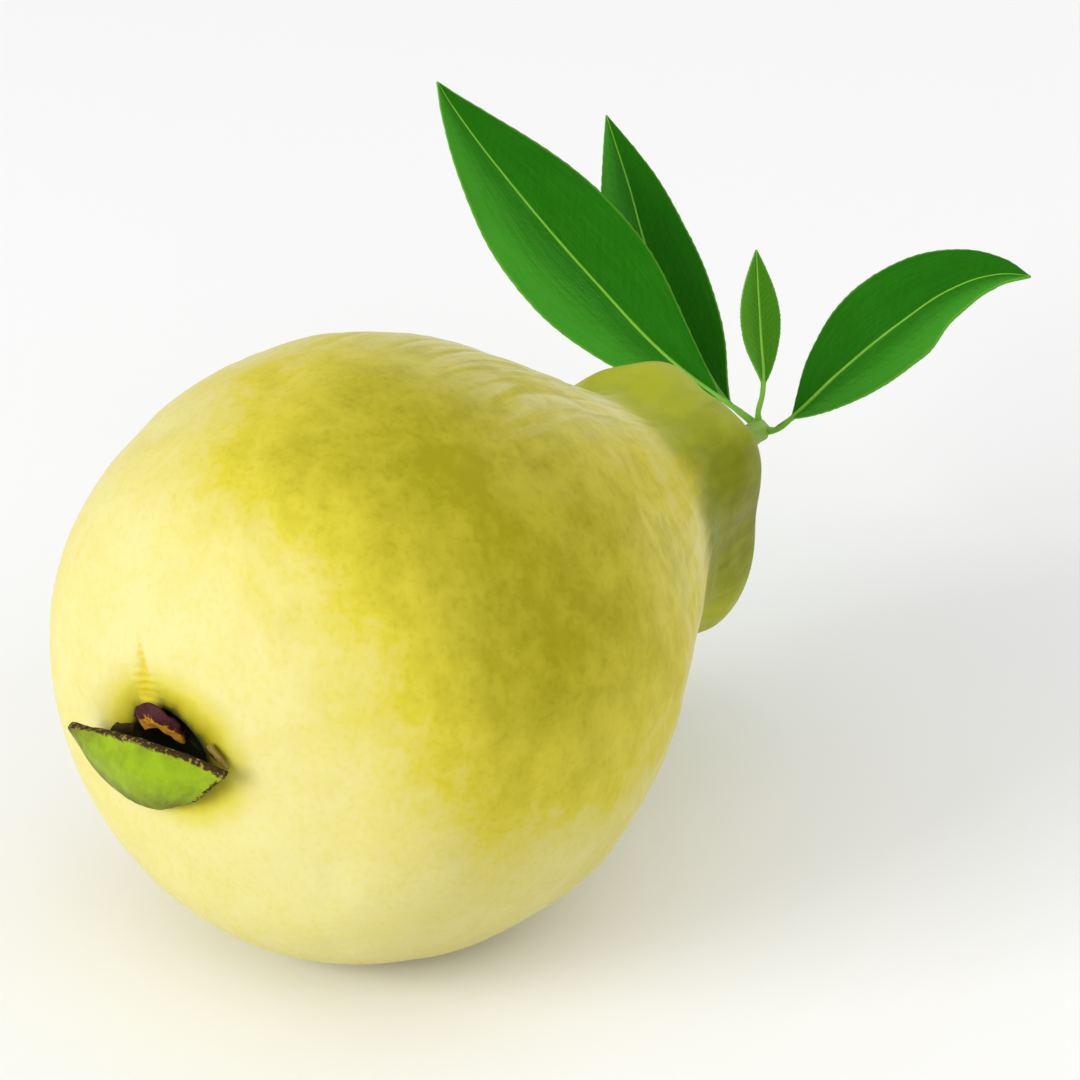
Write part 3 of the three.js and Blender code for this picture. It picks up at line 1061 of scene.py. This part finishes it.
class GUAVA_OT_calyx(bpy.types.Operator):
    """Bridge the calyx lobes between their two edges, and add the dried stamens"""

    bl_idname = "guava.calyx"
    bl_label = "Calyx"

    def execute(self, context):
        sizes = context.scene.guava_calyx
        thin = sizes.dry_thickness
        brown = sizes.dry_brown
        tan = make_dried("calyx_tan", sizes, sizes.dry_tan, brown)
        dark = make_dried("calyx_dark", sizes, brown, brown)
        curl = make_dried("calyx_curl", sizes, sizes.dry_purple, sizes.dry_orange)
        finishes = {
            "green": (make_green_lobe(sizes), sizes.lobe_thickness, 0.3 * MM, "calyx_green"),
            "curled": (curl, thin, 0.7 * MM, "calyx_dry"),
            "left": (dark, thin, 0.6 * MM, "calyx_dry"),
            "right": (tan, thin, 0.6 * MM, "calyx_dry"),
        }
        for name, shape in LOBES.items():
            material, thickness, roughness, slot = finishes[name]
            piece = lobe(f"calyx_{name}", shape, thickness, roughness)
            piece.data.materials.append(material)
            hand_over(piece, f"calyx_lobe_{name}")
        tuft = stamen_tuft()
        tuft.data.materials.append(make_dried("stamens_dry", sizes, brown, sizes.dry_tan))
        hand_over(tuft, "dried_stamens")
        return {"FINISHED"}


# ---- Stalk ---------------------------------------------------------------------------------


def make_stalk_skin(colours):
    """Green, with brown scars and tinges."""
    material, tree, shader = new_material(
        "stalk_skin", Subsurface_Weight=0.1, Subsurface_Scale=1 * MM
    )
    spot = object_place(tree)
    patches = blotches(tree, spot, 3 * MM)["Patches"]
    brown = times(tree, fade(tree, patches, 0.55, 0.95), 0.7)
    base = blend(tree, brown, colours.stalk_green, colours.stalk_brown)
    ridges = bump(tree, fine_grain(tree, spot, 0.4 * MM), 0.15 * MM)
    wire(tree, shader, base, fade(tree, patches, 0.0, 1.0, 0.45, 0.65), ridges)
    return material


class GUAVA_OT_stalk(bpy.types.Operator):
    """Turn the stalk, from its flared foot in the fruit to the swelling where the leaves fork"""

    bl_idname = "guava.stalk"
    bl_label = "Stalk"

    def execute(self, context):
        sizes = context.scene.guava_stalk
        placement = fruit_placement(context.scene.guava_fruit)
        foot = placement @ Vector((0, FRUIT_OUTLINE[-1][1] * MM - DIMPLE_DEPTH, 0))
        fork = Vector(FORK) * MM
        run = (fork - foot).length
        shaft = sizes.shaft_radius
        swelling = sizes.fork_radius
        outline = [
            (0, -1 * MM), (2.2 * shaft, -0.6 * MM), (2.1 * shaft, 0.8 * MM), (1.35 * shaft, 2.4 * MM),
            (shaft, 5 * MM), (shaft, run - 6 * MM), (swelling, run - 1.8 * MM),
            (0.8 * swelling, run + 0.2 * MM), (0, run + 0.8 * MM),
        ]
        stalk = turned("stalk_shaft", outline, steps=8, sides=32)

        def ridges(point):
            return grain(Vector((point.x * 2, point.y * 0.3, point.z * 2)) / MM)

        press(stalk, sizes.ridge_height, ridges)
        direction = (fork - foot).to_track_quat("Y", "Z").to_matrix().to_4x4()
        place(stalk, Matrix.Translation(foot) @ direction)
        bpy.ops.object.shade_smooth()
        stalk.data.materials.append(make_stalk_skin(sizes))
        hand_over(stalk, "stalk")
        return {"FINISHED"}


# ---- Leaves --------------------------------------------------------------------------------


def make_blade_skin(name, light, dark, colours, spacing, vein_share):
    """A blade side: halves with painted light and shade, soft patches, side veins, a pale edge."""
    material, tree, shader = new_material(
        name,
        Subsurface_Weight=0.05,
        Subsurface_Scale=0.5 * MM,
        Specular_IOR_Level=0.06,
        Coat_Roughness=0.4,
    )
    flat = noted(tree, "flat")
    parts = split(tree, flat)
    out = parts["Z"]
    patches = blotches(tree, flat, 8 * MM)
    slant = times(tree, maths(tree, "ABSOLUTE", parts["Y"]), VEIN_SLANT)
    wobble = swing(tree, clouds(tree, flat, 0.25 / MM), 1.6 * MM)
    turns = plus(tree, minus(tree, parts["X"], slant), wobble)
    turns = maths(tree, "DIVIDE", turns, spacing)
    vein = fade(tree, maths(tree, "PINGPONG", turns, 0.5), 0.12, 0.02)
    vein = times(tree, vein, fade(tree, out, 0.98, 0.5))
    # Painted light on one half and painted shade on the other, and a painted sheen towards the edge.
    half = fade(tree, parts["Y"], -0.4 * MM, 0.4 * MM)
    lit = times(tree, half, fade(tree, out, 0.1, 0.85, 0.25, 1.0))
    lit = plus(tree, lit, swing(tree, patches["Patches"], 0.7), clamp=True)
    base = blend(tree, lit, dark, light)
    base = blend(tree, times(tree, vein, vein_share), base, colours.rib_green)
    # A pale edge: partly the leaf's own pale margin, partly a painted highlight along it.
    margin = times(tree, fade(tree, out, 0.965, 0.99), 0.4)
    base = blend(tree, margin, base, colours.rib_green)
    cells = bump(tree, fine_grain(tree, flat, 0.45 * MM), 0.07 * MM)
    normal = bump(tree, vein, -VEIN_DEPTH, cells)
    wire(tree, shader, base, fade(tree, patches["Specks"], 0.0, 1.0, 0.42, 0.52), normal)
    sheen = times(tree, fade(tree, patches["Patches"], 0.4, 1.0), half)
    tree.links.new(times(tree, sheen, 0.25), shader.inputs["Coat Weight"])
    return material


def make_rib_skin(colours):
    """Pale green for midribs and leaf stalks."""
    material, tree, shader = new_material("leaf_rib", Specular_IOR_Level=0.2)
    spot = object_place(tree)
    patches = blotches(tree, spot, 4 * MM)
    tint = times(tree, patches["Patches"], 0.35)
    base = blend(tree, tint, colours.rib_green, colours.young_lit)
    grooves = bump(tree, fine_grain(tree, spot, 0.3 * MM), 0.08 * MM)
    wire(tree, shader, base, fade(tree, patches["Specks"], 0.0, 1.0, 0.42, 0.55), grooves)
    return material


def leaf_frame(leaf):
    """A leaf's own frame: X from its foot towards its tip, Z where its upper side looks."""
    route = in_mm(leaf["route"])
    upwards = Vector(leaf["facing"]).normalized()
    sideways = upwards.cross(route[-1] - route[0]).normalized()
    matrix = Matrix((sideways.cross(upwards), sideways, upwards)).transposed().to_4x4()
    matrix.translation = route[0]
    return matrix


def half_width(leaf, share, sizes):
    """Half of a leaf's width at a share of its route, without its teeth."""
    along = min(1, max(0, (share - leaf["petiole"]) / (1 - leaf["petiole"])))
    stem = 0.5 * sizes.petiole_radius * (1 - 0.75 * along)
    return stem + (leaf["half_width"] * MM - stem) * math.sin(math.pi * along**0.94)


def toothed_edge(leaf, side, run, sizes):
    """One edge of a flat blade, on the side +1 or -1, with its small teeth."""
    points = []
    for row in range(BLADE_ROWS + 1):
        share = row / BLADE_ROWS
        tooth = sizes.tooth_height * (0.5 + 0.5 * noise.noise(Vector((share * 34, side * 5, 0))))
        half = half_width(leaf, share, sizes)
        swell = tooth * (row % TOOTH_ROWS) / (TOOTH_ROWS - 1) * min(1, half / (2 * MM))
        points.append(Vector((share * run, side * (half + swell), 0)))
    return points


def blade(name, leaf, guide, sides, sizes):
    """A blade bridged between its two edges, folded, veined, thickened and bent along a guide.

    Its sides are the materials of its upper side and its underside.
    """
    run = guide.data.splines[0].calc_length()
    widest = leaf["half_width"] * MM
    edges = [toothed_edge(leaf, side, run, sizes) for side in (-1, 1)]
    sheet = sheet_between(name, *edges, steps=1, cuts=23)
    subdivide(sheet)
    note_flat(sheet, leaf, run, sizes)
    spacing = sizes.vein_spacing

    def out(point):
        return abs(point.y) / widest

    def veins(point):
        turns = (point.x - VEIN_SLANT * abs(point.y)) / spacing
        return bell(turns - round(turns), 0.12) * smoothstep(out(point), 0.02, 0.15)

    def ripples(point):
        offset = 0.9 if point.y > 0 else 0
        wave = math.sin(math.tau * (point.x / RIPPLE_LENGTH + offset))
        return out(point) ** 2 * (0.5 + 0.5 * wave)

    def puffs(point):
        return out(point) * grain(point / (6 * MM))

    press(sheet, -VEIN_DEPTH, veins, "Z")
    press(sheet, sizes.ripple_height * widest / RIPPLE_WIDTH, ripples, "Z")
    press(sheet, sizes.puff_height, puffs, "Z")
    press(sheet, -leaf["droop"] * widest, lambda point: min(1, out(point) ** 2), "Z")
    fold(sheet, math.radians(leaf["fold"]))
    face_upwards(sheet)
    for material in sides:
        sheet.data.materials.append(material)
    modify(sheet, "SOLIDIFY", thickness=sizes.thickness, offset=0, material_offset=1)
    modify(sheet, "CURVE", object=guide, deform_axis="POS_X")
    return sheet


def face_upwards(sheet):
    """Turns the faces of a flat sheet so that they look along Z."""
    if sheet.data.polygons[0].normal.z < 0:
        with edit_mode(sheet):
            bpy.ops.mesh.flip_normals()


def note_flat(sheet, leaf, run, sizes):
    """Notes where each place lies on the flat blade.

    X: how far along; Y: how far towards the half with painted light; Z: share of the half width.
    """
    places = []
    for vertex in sheet.data.vertices:
        half = half_width(leaf, vertex.co.x / run, sizes)
        across = vertex.co.y * leaf["lit_side"]
        places.append((vertex.co.x, across, min(1, abs(across) / half)))
    note(sheet, "flat", places)


def fold(sheet, turn):
    """Raises each half of a flat blade about its midrib. Turning goes the other way here."""
    with edit_mode(sheet):
        for side in (-1, 1):
            select_where(sheet, lambda point, side=side: point.y * side > MERGE_DISTANCE)
            bpy.ops.transform.rotate(value=-side * turn, orient_axis="X", center_override=(0, 0, 0))


def rib(name, fork, knots, sizes):
    """The leaf stalk and midrib in one taper, from the fork to the tip."""
    line = smooth_line(name, [fork] + knots, 12)
    make_round(line, sizes.petiole_radius, 3)
    points = line.data.splines[0].bezier_points
    last = len(points) - 1
    for index, point in enumerate(points):
        share = index / last
        point.radius = 1.25 if index == 0 else 1 - 0.85 * share**0.5
        if index > 1:
            point.co.z += 0.25 * sizes.petiole_radius
    tube = as_mesh(line)
    merge_and_face_outwards(tube)
    return tube


class GUAVA_OT_leaves(bpy.types.Operator):
    """Bridge, fold and bend each leaf's blade, and join it to its stalk and midrib"""

    bl_idname = "guava.leaves"
    bl_label = "Leaves"

    def execute(self, context):
        sizes = context.scene.guava_leaf
        spacing = sizes.vein_spacing
        # In each, the first colour is painted light on one half, the second painted shade on the
        # other.
        grown = (sizes.leaf_lit, sizes.leaf_shaded, sizes, spacing, 0.08)
        young = (sizes.young_lit, sizes.young_shaded, sizes, spacing / 2, 0.08)
        under = (sizes.under_lit, sizes.under_shaded, sizes, spacing, 0.35)
        skins = {
            "leaf_green": make_blade_skin("leaf_green", *grown),
            "leaf_young": make_blade_skin("leaf_young", *young),
        }
        underside = make_blade_skin("leaf_under", *under)
        ribs = make_rib_skin(sizes)
        for name, leaf in LEAVES.items():
            matrix = leaf_frame(leaf)
            to_leaf = matrix.inverted()
            knots = [to_leaf @ point for point in in_mm(leaf["route"])]
            guide = smooth_line("guide", knots, 24)
            guide.data.twist_mode = "Z_UP"
            guide.data.use_stretch = True
            guide.data.use_deform_bounds = True
            sheet = blade(f"{name}_blade", leaf, guide, [skins[leaf["slot"]], underside], sizes)
            stalk = rib("rib", to_leaf @ (Vector(FORK) * MM), knots, sizes)
            stalk.data.materials.append(ribs)
            bpy.data.objects.remove(guide)
            join(sheet, stalk)
            place(sheet, matrix)
            bpy.ops.object.shade_smooth()
            hand_over(sheet, name)
        return {"FINISHED"}


# ---- Stage ---------------------------------------------------------------------------------


def area_light(name, spot, target, size, watts):
    """A square light that faces its target."""
    bpy.ops.object.light_add(type="AREA", location=spot)
    light = bpy.context.object
    light.name = name
    light.data.size = size
    light.data.energy = watts
    light.rotation_euler = (target - Vector(spot)).to_track_quat("-Z", "Y").to_euler()


def add_floor(floor_colour):
    """A wide floor at the height that the fruit rests on."""
    bpy.ops.object.select_all(action="DESELECT")
    bpy.ops.mesh.primitive_plane_add(size=FLOOR_SIZE, location=(0, 0, 0))
    floor = bpy.context.object
    floor.name = "floor"
    material, _, shader = new_material("floor_white", Roughness=0.9, Specular_IOR_Level=0.2)
    shader.inputs["Base Color"].default_value = floor_colour
    floor.data.materials.append(material)


def add_camera(stage):
    """The camera, which looks at its aim from the azimuth and the elevation of the settings."""
    right = Vector((math.cos(stage.azimuth), math.sin(stage.azimuth), 0))
    back = Vector(
        (
            math.sin(stage.azimuth) * math.cos(stage.elevation),
            -math.cos(stage.azimuth) * math.cos(stage.elevation),
            math.sin(stage.elevation),
        )
    )
    spot = Vector(CAMERA_AIM) * MM + back * stage.distance
    turn = Matrix((right, back.cross(right), back)).transposed().to_4x4()
    bpy.ops.object.camera_add()
    camera = bpy.context.object
    camera.name = "camera"
    camera.data.lens = stage.lens
    camera.matrix_world = Matrix.Translation(spot) @ turn
    bpy.context.scene.camera = camera


class GUAVA_OT_stage(bpy.types.Operator):
    """Add the floor, the lights and the camera"""

    bl_idname = "guava.stage"
    bl_label = "Stage"

    def execute(self, context):
        stage = context.scene.guava_stage
        add_floor(stage.floor)
        low, high = CAD_BOX
        for name, (spot, size, setting) in LIGHTS.items():
            area_light(name, spot, (low + high) / 2, size, getattr(stage, setting))
        world = bpy.data.worlds.new("white_room")
        world.use_nodes = True
        background = world.node_tree.nodes["Background"]
        background.inputs["Color"].default_value = (1, 1, 1, 1)
        background.inputs["Strength"].default_value = stage.sky
        context.scene.world = world
        context.scene.view_settings.view_transform = "Standard"
        add_camera(stage)
        return {"FINISHED"}


# ---- Add-on --------------------------------------------------------------------------------

OPERATORS = [GUAVA_OT_fruit, GUAVA_OT_calyx, GUAVA_OT_stalk, GUAVA_OT_leaves, GUAVA_OT_stage]
SETTINGS = {
    "guava_fruit": GuavaFruitSettings,
    "guava_calyx": GuavaCalyxSettings,
    "guava_stalk": GuavaStalkSettings,
    "guava_leaf": GuavaLeafSettings,
    "guava_stage": GuavaStageSettings,
}


class GUAVA_PT_panel(bpy.types.Panel):
    """Lists the operators, each with its settings, in the sidebar of the 3D view"""

    bl_idname = "GUAVA_PT_panel"
    bl_label = "Guava"
    bl_space_type = "VIEW_3D"
    bl_region_type = "UI"
    bl_category = "Guava"

    def draw(self, context):
        for operator, group in zip(OPERATORS, SETTINGS):
            box = self.layout.box()
            box.operator(operator.bl_idname)
            settings = getattr(context.scene, group)
            for name in SETTINGS[group].__annotations__:
                box.prop(settings, name)


def register():
    for group, settings in SETTINGS.items():
        bpy.utils.register_class(settings)
        setattr(bpy.types.Scene, group, PointerProperty(type=settings))
    for operator in OPERATORS:
        bpy.utils.register_class(operator)
    bpy.utils.register_class(GUAVA_PT_panel)


def unregister():
    bpy.utils.unregister_class(GUAVA_PT_panel)
    for operator in reversed(OPERATORS):
        bpy.utils.unregister_class(operator)
    for group, settings in SETTINGS.items():
        delattr(bpy.types.Scene, group)
        bpy.utils.unregister_class(settings)


def main():
    register()
    bpy.ops.guava.fruit()
    bpy.ops.guava.calyx()
    bpy.ops.guava.stalk()
    bpy.ops.guava.leaves()
    bpy.ops.guava.stage()


if __name__ == "__main__":
    main()
